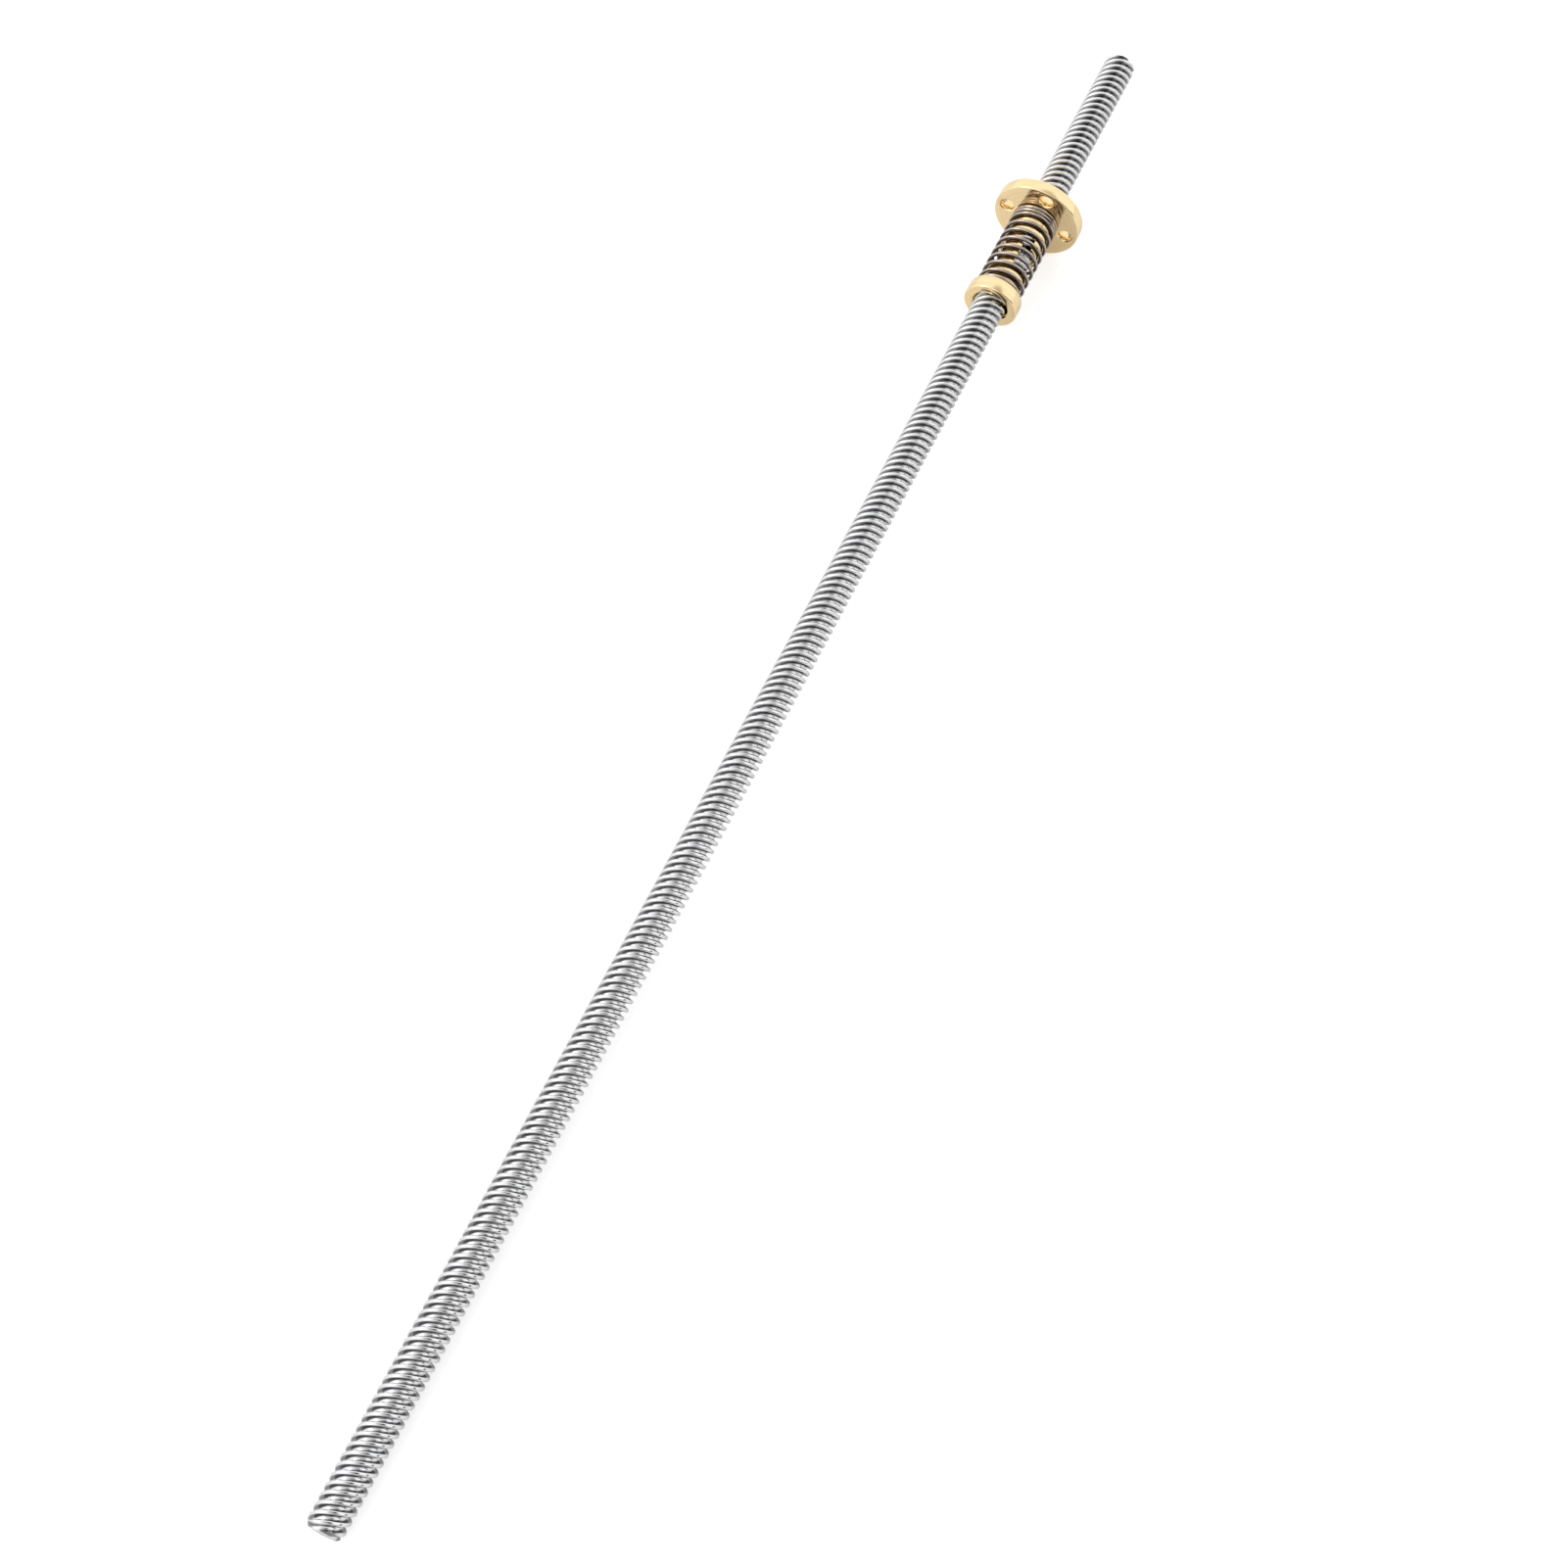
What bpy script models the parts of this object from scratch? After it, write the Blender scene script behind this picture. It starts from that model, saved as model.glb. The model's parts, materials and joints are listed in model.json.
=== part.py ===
# A trapezoidal lead screw, Tr8x8 (P2): 8 mm across, four right-hand starts at a 2 mm pitch, with its
# two-part brass nut. A coil spring on the nut's barrel pushes the collar half away from the
# flange half, so that the two threads grip the screw from both sides and take up the backlash.
#
# Every piece is modelled along its own +X, which runs from the screw's near end to its far end. Angles
# round the screw are counted from its top and grow towards -Y, as a right-hand turn about +X does.
# The whole screw lies as it comes to rest, on the rim of the flange and the crests of its near end.

import math

import bmesh
import bpy
from mathutils import Matrix, Vector

MM = 0.001

# Driving sizes of the screw
SCREW_LENGTH = 400 * MM
THREAD_DIAMETER = 8 * MM
THREAD_PITCH = 2 * MM
THREAD_STARTS = 4
THREAD_DEPTH = 1.25 * MM
CREST_SHARE = 0.366  # width of a crest's flat, in pitches
FLANK_LEAN = math.radians(15)  # of each flank, so 30 degrees between the two
END_CHAMFER = 1 * MM
STEPS_PER_TURN = 7  # rings of the thread in each turn of its helix
THREAD_TURN = math.radians(17.4)  # of a crest where the thread starts

# Driving sizes of the nut
FAR_STRETCH = 52.5 * MM  # of bare screw beyond the flange
FLANGE_THICKNESS = 3.2 * MM
FLANGE_HOLES = 4
HOLE_DIAMETER = 3.5 * MM
HOLE_INNER_LAND = 1.4 * MM  # from the barrel to a hole's edge
HOLE_OUTER_LAND = 1.25 * MM  # from a hole's edge to the rim
BARREL_WALL = 0.65 * MM
FLANGE_SLEEVE = 7.4 * MM  # whole ring of the flange half's barrel
FLANGE_TANG = 4.2 * MM
COLLAR_STEP = 1.9 * MM  # from the barrel out to the collar's rim
COLLAR_THICKNESS = 3.8 * MM
COLLAR_SLEEVE = 7 * MM
COLLAR_TANG = 10.2 * MM
TANG_WIDTH = 4.2 * MM
TANG_TIP = 3.4 * MM  # how far back from its end a tang is narrower
TANG_STEP = 1.1 * MM  # taken off its free edge there
TANG_PLAY = 1.8 * MM  # across the slot, beside the gaps
RIM_CHAMFER = 0.4 * MM
MOUTH_CHAMFER = 0.5 * MM
HOLE_TURN = math.radians(14)  # of the first flange hole
SLOT_TURN = math.radians(-0.5)  # of the middle of the slots

# Driving sizes of the spring
WIRE_DIAMETER = 0.9 * MM
ACTIVE_PITCH = 2.7 * MM
CLOSED_TURNS_AT_COLLAR = 1
CLOSED_TURNS_AT_FLANGE = 2.2
SPRING_TURN = math.radians(125)  # of the wire's end at the collar
POINTS_PER_COIL = 12

# Clearances
THREAD_CLEARANCE = 0.2 * MM  # radial, from the screw's crests to the nut's bore
SPRING_CLEARANCE = 0.1 * MM  # radial, from the barrel to the wire
SEAT_GAP = 0.3 * MM  # from the spring's ends to the collar and the flange
TANG_GAP = 0.25 * MM  # from a tang's edge to the slot wall it is pushed against
COIL_GAP = 0.06 * MM  # between closed coils

# Fineness
TURNED_FACETS = 32
HOLE_FACETS = 16
OVERCUT = 1 * MM  # how far a cutter runs past what it cuts

# Worked out from the driving sizes
LEAD = THREAD_PITCH * THREAD_STARTS
THREAD_RADIUS = THREAD_DIAMETER / 2
ROOT_RADIUS = THREAD_RADIUS - THREAD_DEPTH
BORE_RADIUS = THREAD_RADIUS + THREAD_CLEARANCE
BARREL_RADIUS = BORE_RADIUS + BARREL_WALL
HOLE_CIRCLE_RADIUS = BARREL_RADIUS + HOLE_INNER_LAND + HOLE_DIAMETER / 2
FLANGE_RADIUS = HOLE_CIRCLE_RADIUS + HOLE_DIAMETER / 2 + HOLE_OUTER_LAND
COLLAR_RADIUS = BARREL_RADIUS + COLLAR_STEP
SLOT_WIDTH = TANG_WIDTH + TANG_PLAY + 2 * TANG_GAP
FLANGE_STATION = SCREW_LENGTH - FAR_STRETCH - FLANGE_THICKNESS
SLOT_FLOOR_STATION = FLANGE_STATION - FLANGE_SLEEVE
COLLAR_TIP_STATION = SLOT_FLOOR_STATION - SEAT_GAP
COLLAR_STATION = COLLAR_TIP_STATION - COLLAR_TANG - COLLAR_SLEEVE - COLLAR_THICKNESS
COLLAR_BACK_STATION = COLLAR_STATION + COLLAR_THICKNESS


def swing_in_slot():
    """How far a tang turns from the slot's middle before its outer edge comes within TANG_GAP of the wall."""
    half_tang = math.asin(TANG_WIDTH / 2 / BARREL_RADIUS)
    half_slot = math.asin((SLOT_WIDTH / 2 - TANG_GAP) / BARREL_RADIUS)
    return half_slot - half_tang


TANG_TURN = SLOT_TURN - swing_in_slot()


def lie_of_the_screw():
    """The tilt at which the flange's bottom facet and the near end's crests touch one plane, and the height
    of the axis over that plane at the near end."""
    near, far = END_CHAMFER, FLANGE_STATION + RIM_CHAMFER
    rim = FLANGE_RADIUS * math.cos(math.pi / TURNED_FACETS)
    tilt = math.atan2(rim - THREAD_RADIUS, far - near)
    return tilt, THREAD_RADIUS * math.cos(tilt) - near * math.sin(tilt)


def clear_scene():
    for obj in list(bpy.data.objects):
        bpy.data.objects.remove(obj)


def collection_named(name):
    collection = bpy.data.collections.new(name)
    bpy.context.scene.collection.children.link(collection)
    return collection


def metal(name, colour, roughness):
    material = bpy.data.materials.new(name)
    material.use_nodes = True
    shader = material.node_tree.nodes["Principled BSDF"]
    shader.inputs["Base Color"].default_value = (*colour, 1)
    shader.inputs["Metallic"].default_value = 1
    shader.inputs["Roughness"].default_value = roughness
    material.diffuse_color = (*colour, 1)
    return material


def place(obj, collection, carrier, station=0, turn=0):
    """Sets an object on the screw's axis at a station, turned about the axis."""
    collection.objects.link(obj)
    obj.parent = carrier
    obj.location.x = station
    obj.rotation_euler.x = turn
    return obj


def around(turn):
    """The direction at this angle round the axis, in the piece's own frame."""
    return Vector((0, -math.sin(turn), math.cos(turn)))


def turned(name, profile, collection, carrier, station=0):
    """An outline of (along, radius) points spun about the axis, with a flat facet at the very bottom. It runs
    the near end first on the outside, and closes on itself unless both of its ends are on the axis."""
    mesh = bpy.data.meshes.new(name)
    corners = [(along, 0, radius) for along, radius in profile]
    edges = [(i, i + 1) for i in range(len(corners) - 1)]
    if profile[0][1] or profile[-1][1]:
        edges.append((len(corners) - 1, 0))
    mesh.from_pydata(corners, edges, [])
    obj = bpy.data.objects.new(name, mesh)
    spin = obj.modifiers.new("spin", "SCREW")
    spin.axis = "X"
    spin.steps = spin.render_steps = TURNED_FACETS
    spin.use_merge_vertices = True
    spin.merge_threshold = 1e-6
    spin.use_smooth_shade = False
    spin.use_normal_flip = True
    return place(obj, collection, carrier, station, math.pi / TURNED_FACETS)


def cutter(obj):
    obj.hide_render = True
    obj.display_type = "WIRE"
    return obj


def cylinder_cutter(name, radius, start, end, middle, collection, carrier):
    """A rod along the axis from one station to another, its own middle at a (y, z) offset."""
    mesh = bpy.data.meshes.new(name)
    rod = bmesh.new()
    to_axis = Matrix.Translation(((start + end) / 2, 0, 0)) @ Matrix.Rotation(math.pi / 2, 4, "Y")
    bmesh.ops.create_cone(
        rod,
        cap_ends=True,
        segments=HOLE_FACETS,
        radius1=radius,
        radius2=radius,
        depth=end - start,
        matrix=to_axis,
    )
    bmesh.ops.translate(rod, verts=rod.verts, vec=middle)
    rod.to_mesh(mesh)
    rod.free()
    return cutter(place(bpy.data.objects.new(name, mesh), collection, carrier))


def box_cutter(name, start, end, width, turn, collection, carrier, offset=0, from_axis=False):
    """A box with two walls along the axis and width apart, across the whole barrel or from the axis up."""
    mesh = bpy.data.meshes.new(name)
    box = bmesh.new()
    top = BARREL_RADIUS + OVERCUT
    bottom = 0 if from_axis else -top
    size = Matrix.Diagonal((end - start, width, top - bottom, 1))
    middle = Matrix.Translation(((start + end) / 2, offset, (top + bottom) / 2))
    bmesh.ops.create_cube(box, size=1, matrix=middle @ size)
    box.to_mesh(mesh)
    box.free()
    return cutter(place(bpy.data.objects.new(name, mesh), collection, carrier, turn=turn))


def cut(obj, tool, operation="DIFFERENCE"):
    boolean = obj.modifiers.new(tool.name, "BOOLEAN")
    boolean.operation = operation
    boolean.object = tool


def thread_section():
    """The corners of the four-start thread where a plane square to the axis cuts it."""
    half_crest = CREST_SHARE * THREAD_PITCH / 2
    half_base = half_crest + THREAD_DEPTH * math.tan(FLANK_LEAN)
    corners = []
    for start in range(THREAD_STARTS):
        middle = 2 * math.pi * start / THREAD_STARTS
        for radius, along in (
            (ROOT_RADIUS, -half_base),
            (THREAD_RADIUS, -half_crest),
            (THREAD_RADIUS, half_crest),
            (ROOT_RADIUS, half_base),
        ):
            corners.append(radius * around(middle + 2 * math.pi * along / LEAD))
    return corners


def lead_screw(parts, cutters, carrier, material):
    """The thread is swept past both ends, then the chamfered blank that it is rolled on cuts it to length."""
    step = LEAD / STEPS_PER_TURN
    steps = math.ceil(SCREW_LENGTH / step) + 2
    sweep = bmesh.new()
    ring = [sweep.verts.new(corner) for corner in thread_section()]
    sides = [sweep.edges.new((ring[i - 1], ring[i])) for i in range(len(ring))]
    swept = bmesh.ops.spin(
        sweep,
        geom=sides,
        axis=(1, 0, 0),
        dvec=(step, 0, 0),
        angle=2 * math.pi * steps / STEPS_PER_TURN,
        steps=steps,
    )
    last = [edge for edge in swept["geom_last"] if isinstance(edge, bmesh.types.BMEdge)]
    for ends in (sides, last):
        bmesh.ops.contextual_create(sweep, geom=ends)
    back_a_step = Matrix.Rotation(THREAD_TURN - 2 * math.pi / STEPS_PER_TURN, 3, "X")
    bmesh.ops.rotate(sweep, verts=sweep.verts, matrix=back_a_step)
    bmesh.ops.translate(sweep, verts=sweep.verts, vec=(-step, 0, 0))
    bmesh.ops.recalc_face_normals(sweep, faces=sweep.faces)
    mesh = bpy.data.meshes.new("lead_screw")
    sweep.to_mesh(mesh)
    sweep.free()
    screw = place(bpy.data.objects.new("lead_screw", mesh), parts, carrier)
    mesh.materials.append(material)

    outside = THREAD_RADIUS + THREAD_CLEARANCE / 2
    bevel = END_CHAMFER + THREAD_CLEARANCE / 2
    blank = turned(
        "screw_blank",
        [
            (0, 0),
            (0, outside - bevel),
            (bevel, outside),
            (SCREW_LENGTH - bevel, outside),
            (SCREW_LENGTH, outside - bevel),
            (SCREW_LENGTH, 0),
        ],
        cutters,
        carrier,
    )
    cut(screw, cutter(blank), "INTERSECT")
    return screw


def flange_nut(parts, cutters, carrier, material):
    tip = SLOT_FLOOR_STATION - FLANGE_TANG
    back = FLANGE_STATION + FLANGE_THICKNESS
    nut = turned(
        "flange_nut",
        [
            (tip, BORE_RADIUS),
            (tip, BARREL_RADIUS),
            (FLANGE_STATION, BARREL_RADIUS),
            (FLANGE_STATION, FLANGE_RADIUS - RIM_CHAMFER),
            (FLANGE_STATION + RIM_CHAMFER, FLANGE_RADIUS),
            (back - RIM_CHAMFER, FLANGE_RADIUS),
            (back, FLANGE_RADIUS - RIM_CHAMFER),
            (back, BORE_RADIUS + MOUTH_CHAMFER),
            (back - MOUTH_CHAMFER, BORE_RADIUS),
        ],
        parts,
        carrier,
    )
    nut.data.materials.append(material)
    slot = box_cutter(
        "flange_nut_slot", tip - OVERCUT, SLOT_FLOOR_STATION, SLOT_WIDTH, SLOT_TURN, cutters, carrier
    )
    cut(nut, slot)
    for hole in range(FLANGE_HOLES):
        turn = HOLE_TURN + 2 * math.pi * hole / FLANGE_HOLES
        drill = cylinder_cutter(
            f"flange_hole_{hole}",
            HOLE_DIAMETER / 2,
            FLANGE_STATION - OVERCUT,
            back + OVERCUT,
            HOLE_CIRCLE_RADIUS * around(turn),
            cutters,
            carrier,
        )
        cut(nut, drill)
    return nut


def collar_nut(parts, cutters, carrier, material):
    """Its origin is on the axis, about which it turns between the walls of the flange half's slots."""
    tangs = COLLAR_BACK_STATION + COLLAR_SLEEVE
    nut = turned(
        "collar_nut",
        [
            (COLLAR_STATION + MOUTH_CHAMFER, BORE_RADIUS),
            (COLLAR_STATION, BORE_RADIUS + MOUTH_CHAMFER),
            (COLLAR_STATION, COLLAR_RADIUS - RIM_CHAMFER),
            (COLLAR_STATION + RIM_CHAMFER, COLLAR_RADIUS),
            (COLLAR_BACK_STATION - RIM_CHAMFER, COLLAR_RADIUS),
            (COLLAR_BACK_STATION, COLLAR_RADIUS - RIM_CHAMFER),
            (COLLAR_BACK_STATION, BARREL_RADIUS),
            (COLLAR_TIP_STATION, BARREL_RADIUS),
            (COLLAR_TIP_STATION, BORE_RADIUS),
        ],
        parts,
        carrier,
    )
    nut.data.materials.append(material)
    for side in (-1, 1):
        waste = box_cutter(
            f"collar_nut_waste_{'left' if side > 0 else 'right'}",
            tangs,
            COLLAR_TIP_STATION + OVERCUT,
            2 * BARREL_RADIUS,
            TANG_TURN,
            cutters,
            carrier,
            offset=side * (TANG_WIDTH / 2 + BARREL_RADIUS),
        )
        cut(nut, waste)
    for tang, half_turn in (("top", 0), ("bottom", math.pi)):
        step = box_cutter(
            f"collar_nut_step_{tang}",
            COLLAR_TIP_STATION - TANG_TIP,
            COLLAR_TIP_STATION + OVERCUT,
            2 * BARREL_RADIUS,
            TANG_TURN + half_turn,
            cutters,
            carrier,
            offset=TANG_STEP - TANG_WIDTH / 2 - BARREL_RADIUS,
            from_axis=True,
        )
        cut(nut, step)
    return nut


def compression_spring(parts, carrier, material):
    """One wire: closed turns against each seat, and open ones between them that fill what length is left."""
    wire = WIRE_DIAMETER / 2
    inside = BARREL_RADIUS + SPRING_CLEARANCE
    coil_radius = (inside + wire) / math.cos(math.pi / POINTS_PER_COIL)
    start = COLLAR_BACK_STATION + SEAT_GAP + wire
    end = FLANGE_STATION - SEAT_GAP - wire
    closed_pitch = WIRE_DIAMETER + COIL_GAP
    closed_turns = CLOSED_TURNS_AT_COLLAR + CLOSED_TURNS_AT_FLANGE
    open_length = end - start - closed_turns * closed_pitch
    open_turns = round(open_length / ACTIVE_PITCH, 1)
    open_pitch = open_length / open_turns

    def station(turns):
        closed = min(turns, CLOSED_TURNS_AT_COLLAR) + max(turns - CLOSED_TURNS_AT_COLLAR - open_turns, 0)
        return start + closed * closed_pitch + (turns - closed) * open_pitch

    all_turns = closed_turns + open_turns
    count = math.ceil(all_turns * POINTS_PER_COIL) + 1
    curve = bpy.data.curves.new("compression_spring", "CURVE")
    curve.dimensions = "3D"
    curve.bevel_depth = wire
    curve.bevel_resolution = 2
    curve.use_fill_caps = True
    path = curve.splines.new("POLY")
    path.points.add(count - 1)
    for i, point in enumerate(path.points):
        turns = all_turns * i / (count - 1)
        centre = coil_radius * around(SPRING_TURN + 2 * math.pi * turns) + Vector((station(turns), 0, 0))
        point.co = (*centre, 1)
    curve.materials.append(material)
    return place(bpy.data.objects.new("compression_spring", curve), parts, carrier)


def main():
    clear_scene()
    parts = collection_named("trapezoidal_lead_screw")
    cutters = collection_named("cutters")
    steel = metal("polished_steel", (0.78, 0.78, 0.8), 0.18)
    brass = metal("turned_brass", (0.86, 0.66, 0.34), 0.28)
    spring_steel = metal("oiled_spring_wire", (0.1, 0.09, 0.085), 0.3)

    tilt, near_height = lie_of_the_screw()
    carrier = bpy.data.objects.new("screw_axis", None)
    parts.objects.link(carrier)
    carrier.location = (-SCREW_LENGTH / 2 * math.cos(tilt), 0, near_height)
    carrier.rotation_euler.y = -tilt

    lead_screw(parts, cutters, carrier, steel)
    flange_nut(parts, cutters, carrier, brass)
    collar_nut(parts, cutters, carrier, brass)
    compression_spring(parts, carrier, spring_steel)


main()
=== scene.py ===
# Looks of a trapezoidal lead screw with its spring-loaded brass nut, as a studio shot on white.
#
# Every piece is modelled along its own X, from the screw's near end to its far end, and then laid on the
# axis that the frame gives. A "turn" is an angle round that axis, counted from the top as a right-hand
# turn about X does.

import json
import math

import bmesh
import bpy
from mathutils import Matrix, Vector


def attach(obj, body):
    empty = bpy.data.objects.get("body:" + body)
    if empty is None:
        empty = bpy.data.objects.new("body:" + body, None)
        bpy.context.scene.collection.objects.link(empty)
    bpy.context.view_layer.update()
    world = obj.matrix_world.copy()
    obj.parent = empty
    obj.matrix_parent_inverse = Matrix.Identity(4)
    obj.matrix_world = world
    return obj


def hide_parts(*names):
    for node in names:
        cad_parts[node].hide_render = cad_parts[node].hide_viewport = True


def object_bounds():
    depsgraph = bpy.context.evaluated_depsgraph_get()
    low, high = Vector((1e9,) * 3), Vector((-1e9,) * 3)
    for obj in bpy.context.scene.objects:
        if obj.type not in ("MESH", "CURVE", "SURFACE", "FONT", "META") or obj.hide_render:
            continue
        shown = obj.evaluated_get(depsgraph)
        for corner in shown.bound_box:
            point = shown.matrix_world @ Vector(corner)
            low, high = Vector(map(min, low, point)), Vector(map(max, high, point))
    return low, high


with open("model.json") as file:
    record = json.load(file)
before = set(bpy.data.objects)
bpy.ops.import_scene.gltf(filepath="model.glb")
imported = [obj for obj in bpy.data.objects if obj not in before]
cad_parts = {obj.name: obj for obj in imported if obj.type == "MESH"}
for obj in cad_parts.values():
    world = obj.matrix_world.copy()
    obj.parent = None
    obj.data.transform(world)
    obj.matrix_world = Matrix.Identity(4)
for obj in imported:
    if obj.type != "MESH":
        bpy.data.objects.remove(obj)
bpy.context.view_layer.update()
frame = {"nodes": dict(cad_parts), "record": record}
mm = 0.001


# The camera, as it stood for the photograph

photoView = {
    "place": (-246.37, -117.52, 473.74),
    "heading": math.radians(25.411),  # from +X towards +Y
    "downwards": math.radians(61.869),
    "lens": 56.285,
    "sensor": 36,
    "clipStart": 10 * mm,
    "clipEnd": 10,
}


def setCamera():
    lens = bpy.data.cameras.new("camera")
    lens.sensor_width = photoView["sensor"]
    lens.lens = photoView["lens"]
    lens.clip_start = photoView["clipStart"]
    lens.clip_end = photoView["clipEnd"]
    camera = bpy.data.objects.new("camera", lens)
    camera.location = Vector(photoView["place"]) * mm
    upright = math.pi / 2
    camera.rotation_euler = (upright - photoView["downwards"], 0, photoView["heading"] - upright)
    bpy.context.scene.collection.objects.link(camera)
    bpy.context.scene.camera = camera


setCamera()
print("camera set")


# The screw's axis, from the two end faces that the record states

mounts = {mount["name"]: mount for mount in frame["record"]["mounts"]}


def axisPlacement():
    near = Vector(mounts["screw_near_end"]["pos_m"])
    along = (Vector(mounts["screw_far_end"]["pos_m"]) - near).normalized()
    left = Vector((0, 1, 0))
    placement = Matrix((along, left, along.cross(left))).transposed().to_4x4()
    placement.translation = near
    return placement


onAxis = axisPlacement()


# The stations at which a node of the frame starts and ends.
def spanAlongAxis(node):
    back = onAxis.inverted()
    stations = [(back @ vertex.co).x for vertex in frame["nodes"][node].data.vertices]
    return min(stations), max(stations)


def around(turn):
    return Vector((0, -math.sin(turn), math.cos(turn)))


# Small helpers for meshes and node trees


def addObject(name, data):
    obj = bpy.data.objects.new(name, data)
    bpy.context.scene.collection.objects.link(obj)
    return obj


# Turns an object with its modifiers into a plain mesh, laid on the screw's axis.
def finished(obj, name):
    seen = obj.evaluated_get(bpy.context.evaluated_depsgraph_get())
    mesh = bpy.data.meshes.new_from_object(seen)
    mesh.name = name
    bpy.data.objects.remove(obj)
    mesh.transform(onAxis)
    piece = addObject(name, mesh)
    print(name, "has", sum(len(face.vertices) - 2 for face in mesh.polygons), "triangles")
    return piece


def makeNode(tree, kind, inputs=None, **settings):
    node = tree.nodes.new(kind)
    for key, value in settings.items():
        setattr(node, key, value)
    for key, value in (inputs or {}).items():
        if isinstance(value, bpy.types.NodeSocket):
            tree.links.new(value, node.inputs[key])
        else:
            node.inputs[key].default_value = value
    return node


def doMath(tree, operation, *values):
    return makeNode(tree, "ShaderNodeMath", dict(enumerate(values)), operation=operation).outputs[0]


# A Geometry Nodes tree with these (name, socket type) inputs, and its input node.
def makeTree(name, inputs):
    tree = bpy.data.node_groups.new(name, "GeometryNodeTree")
    tree.interface.new_socket("Geometry", in_out="OUTPUT", socket_type="NodeSocketGeometry")
    for label, kind in inputs:
        tree.interface.new_socket(label, in_out="INPUT", socket_type="NodeSocket" + kind)
    return tree, tree.nodes.new("NodeGroupInput").outputs


def endTree(tree, geometry, material):
    smooth = makeNode(tree, "GeometryNodeSetShadeSmooth", {"Geometry": geometry})
    real = makeNode(tree, "GeometryNodeRealizeInstances", {"Geometry": smooth.outputs[0]})
    dressed = makeNode(
        tree, "GeometryNodeSetMaterial", {"Geometry": real.outputs[0], "Material": material}
    )
    makeNode(tree, "NodeGroupOutput", {"Geometry": dressed.outputs[0]})


# An object whose mesh comes from a tree, with its inputs set by name.
def grow(name, tree, values):
    obj = addObject(name, bpy.data.meshes.new(name))
    modifier = obj.modifiers.new(name, "NODES")
    modifier.node_group = tree
    for item in tree.interface.items_tree:
        if item.in_out == "INPUT":
            modifier[item.identifier] = values[item.name]
    return obj


# Shared patterns of the finishes

# A shader group; inputs are (name, default) with a number, and outputs are (name, socket type).
def makeGroup(name, inputs, outputs):
    group = bpy.data.node_groups.new(name, "ShaderNodeTree")
    for label, value in inputs:
        socket = group.interface.new_socket(label, in_out="INPUT", socket_type="NodeSocketFloat")
        socket.default_value = value
    for label, kind in outputs:
        group.interface.new_socket(label, in_out="OUTPUT", socket_type="NodeSocket" + kind)
    return group, group.nodes.new("NodeGroupInput").outputs


# Station, distance and direction from the screw's axis, from the piece's own coordinates.
def makeScrewSpace():
    group, _ = makeGroup("screwSpace", [], [("Along", "Float"), ("Radius", "Float"), ("Around", "Vector")])
    place = makeNode(group, "ShaderNodeTexCoord").outputs["Object"]
    back = onAxis.inverted()
    turned = makeNode(
        group,
        "ShaderNodeMapping",
        {"Vector": place, "Location": back.translation, "Rotation": back.to_euler()},
    ).outputs[0]
    parts = makeNode(group, "ShaderNodeSeparateXYZ", {0: turned})
    flat = makeNode(group, "ShaderNodeCombineXYZ", {"Y": parts.outputs["Y"], "Z": parts.outputs["Z"]})
    radius = makeNode(group, "ShaderNodeVectorMath", {0: flat.outputs[0]}, operation="LENGTH")
    outward = makeNode(group, "ShaderNodeVectorMath", {0: flat.outputs[0]}, operation="NORMALIZE")
    makeNode(
        group,
        "NodeGroupOutput",
        {"Along": parts.outputs["X"], "Radius": radius.outputs["Value"], "Around": outward.outputs[0]},
    )
    return group


def useGroup(tree, group, inputs=None):
    return makeNode(tree, "ShaderNodeGroup", inputs, node_tree=group).outputs


screwSpace = makeScrewSpace()


turning = {
    "spacing": 0.11 * mm,
    "seed": 0.0,
    "broadShare": 0.11,  # how many broad rings there are to each fine one
    "fineDetail": 3.0,
    "broadDetail": 2.0,
    "roughness": 0.6,
}


# Fine rings that a lathe tool leaves on a turned piece, on its rims and on its faces alike.
def makeTurningMarks():
    group, given = makeGroup(
        "turningMarks",
        [("Spacing", turning["spacing"]), ("Seed", turning["seed"])],
        [("Height", "Float"), ("Tone", "Float")],
    )
    space = useGroup(group, screwSpace)
    path = doMath(group, "ADD", space["Along"], space["Radius"])
    count = doMath(group, "DIVIDE", path, given["Spacing"])
    fine = makeNode(
        group,
        "ShaderNodeTexNoise",
        {
            "W": doMath(group, "ADD", count, given["Seed"]),
            "Scale": 1.0,
            "Detail": turning["fineDetail"],
            "Roughness": turning["roughness"],
        },
        noise_dimensions="1D",
    )
    broad = makeNode(
        group,
        "ShaderNodeTexNoise",
        {
            "W": doMath(group, "MULTIPLY", count, turning["broadShare"]),
            "Scale": 1.0,
            "Detail": turning["broadDetail"],
        },
        noise_dimensions="1D",
    )
    makeNode(group, "NodeGroupOutput", {"Height": fine.outputs[0], "Tone": broad.outputs[0]})
    return group


rolling = {
    "lead": 8 * mm,
    "fineness": 9.0,  # streaks in each mm across the thread
    "breaks": 60.0,
    "fineRoughness": 0.65,
    "broadScale": 190.0,
    "broadRoughness": 0.6,
    "detail": 4.0,
}


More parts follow.
